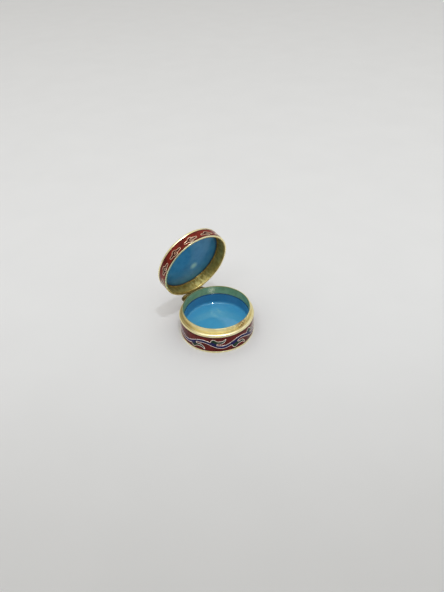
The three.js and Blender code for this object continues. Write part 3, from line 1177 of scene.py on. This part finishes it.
def hinge_strap(half, low, high):
    """The lid's knuckle, the block that carries it and a strap with a round end up the lid's wall."""
    rise = half * STRAP_ARCH
    turns = [radians(180 * i / ARCH_STEPS) for i in range(ARCH_STEPS + 1)]
    arch = [(half * cos(t), high - rise * (1 - sin(t))) for t in turns]
    arch = [(half, low), *arch, (-half, low)]
    top = pin_z + KNUCKLE_RADIUS
    block = [(leaf_radius, low), (pin_y, low), (pin_y, top), (leaf_radius, top)]
    pieces = Pieces()
    pieces.add(*knuckle(-half, half))
    pieces.add(*plate(arch, leaf_radius, leaf_radius + STRAP_THICKNESS, lambda x, z, y: (x, y, z)))
    pieces.add(*plate(block, -half, half, lambda y, z, x: (x, y, z)))
    made = mesh_object("hinge_strap", pieces.points, pieces.faces, "hinge", "lid")
    ease(made, HINGE_EASING)
    settle(made, ["hinge_lid_leaf"], "lid")


def hinge_rod():
    """The pin, with a domed head at each end."""
    end = size_of("hinge_pin")[1][0]
    head = end - PIN_HEAD_HEIGHT
    crown = PIN_HEAD_RADIUS - PIN_HEAD_HEIGHT
    points, faces = lathe(softened([
        (0, -end, 0),
        *arc(crown, -head, PIN_HEAD_HEIGHT, -90, 0, 6),
        (PIN_RADIUS, -head, 0),
        (PIN_RADIUS, head, 0),
        *arc(crown, head, PIN_HEAD_HEIGHT, 0, 90, 6),
        (0, end, 0),
    ]), closed=False, around=HINGE_SIDES)
    made = mesh_object("hinge_rod", along_pin(points), faces, "hinge", "base")
    settle(made, ["hinge_pin"], "base")


def hinge():
    low, high = size_of("hinge_lid_leaf", lid_shut)
    half = high[0]
    hinge_leaf(half + SWING_GAP)
    hinge_strap(half, low[2], high[2])
    hinge_rod()


# Surroundings

def add_camera():
    roll = radians(CAMERA_ROLL)
    back = towards(CAMERA_AZIMUTH, CAMERA_ELEVATION)
    level = towards(CAMERA_AZIMUTH + 90, 0)
    upright = back.cross(level)
    right = level * cos(roll) + upright * sin(roll)
    up = upright * cos(roll) - level * sin(roll)
    place = (back * CAMERA_DISTANCE + right * CAMERA_RIGHT + up * CAMERA_UP) * MM
    data = bpy.data.cameras.new("camera")
    data.sensor_width = SENSOR
    data.lens = FOCAL_PIXELS * SENSOR / PHOTO_HEIGHT
    data.clip_start = 0.01
    camera = placed(data)
    camera.matrix_world = Matrix.Translation(place) @ Matrix((right, up, back)).transposed().to_4x4()
    bpy.context.scene.camera = camera


def towards(azimuth, elevation):
    """The direction from the box to a place, with azimuth 0 in front of it and 90 on its right."""
    a, e = radians(azimuth), radians(elevation)
    return Vector((sin(a) * cos(e), -cos(a) * cos(e), sin(e)))


def place_light(data, place, aim):
    light = placed(data)
    light.location = place
    light.rotation_mode = "QUATERNION"
    light.rotation_quaternion = (place - aim).to_track_quat("Z", "Y")
    return light


def add_softbox():
    data = bpy.data.lights.new("softbox", "AREA")
    data.size = SOFTBOX_SIZE
    data.energy = SOFTBOX_POWER
    place = towards(CAMERA_AZIMUTH + SOFTBOX_AZIMUTH, SOFTBOX_ELEVATION) * SOFTBOX_DISTANCE
    place_light(data, place, Vector())


def add_lamp(name, power):
    data = bpy.data.lights.new(name, "SPOT")
    data.energy = power
    data.color = LAMP_COLOUR
    data.shadow_soft_size = LAMP_RADIUS
    data.spot_size = radians(BEAM_ANGLE)
    data.spot_blend = BEAM_BLEND
    place = towards(CAMERA_AZIMUTH + LAMP_AZIMUTH, LAMP_ELEVATION) * LAMP_DISTANCE
    return place_light(data, place, towards(CAMERA_AZIMUTH + 180, 0) * BEAM_AIM)


def sheet(name, corners, material):
    mesh = bpy.data.meshes.new(name)
    mesh.from_pydata(corners, [], [(0, 1, 2, 3)])
    mesh.materials.append(material)
    return placed(mesh)


def add_floor():
    half = FLOOR_HALF
    corners = [(-half, -half, 0), (half, -half, 0), (half, half, 0), (-half, half, 0)]
    shader = Shader("floor_paper")
    shade = shader.mix(shader.noise(40, detail=2), linear(233, 233, 232), linear(229, 229, 228))
    floor = sheet("floor", corners, shader.finish(shade, 1.0, **{"Specular IOR Level": 0.1}))


def add_card():
    side = towards(CAMERA_AZIMUTH + 90, 0) * CARD_WIDTH / 2
    foot = towards(CAMERA_AZIMUTH, 0) * CARD_DISTANCE + Vector((0, 0, CARD_FOOT))
    rise = Vector((0, 0, CARD_HEIGHT))
    corners = [foot - side, foot + side, foot + side + rise, foot - side + rise]
    card = sheet("card", corners, Shader("card_black").finish(linear(40, 40, 42), 0.9))
    card.visible_camera = False


def add_world():
    """Bright overhead and dimmer towards the horizon."""
    world = bpy.data.worlds.new("studio")
    world.use_nodes = True
    tree = world.node_tree
    place = tree.nodes.new("ShaderNodeTexCoord")
    split = tree.nodes.new("ShaderNodeSeparateXYZ")
    rise = tree.nodes.new("ShaderNodeMapRange")
    tree.links.new(place.outputs["Generated"], split.inputs["Vector"])
    tree.links.new(split.outputs["Z"], rise.inputs["Value"])
    rise.inputs["To Min"].default_value = HORIZON_LIGHT
    rise.inputs["To Max"].default_value = SKY_LIGHT
    tree.nodes["Background"].inputs["Color"].default_value = ROOM_COLOUR
    tree.links.new(rise.outputs["Result"], tree.nodes["Background"].inputs["Strength"])
    bpy.context.scene.world = world


def add_surroundings():
    add_world()
    add_floor()
    add_card()
    add_softbox()
    add_lamp("lamp", LAMP_POWER)
    add_lamp("sparkle", SPARKLE_POWER).visible_diffuse = False
    view = bpy.context.scene.view_settings
    view.view_transform = "Standard"
    view.look = "Medium High Contrast"


add_camera()
add_surroundings()
base_shell()
base_collar()
base_lining()
base_underside()
enamel_ring("base_enamel", "base_enamel_band", "base", "base_red", band_low, band_high)
vine_pattern()
lid_shell()
enamel_ring("lid_enamel", "lid_enamel_band", "lid", "lid_red", lid_band_low, lid_band_high)
cloud_pattern()
lid_panel()
panel_pattern()
lid_lining()
hinge()
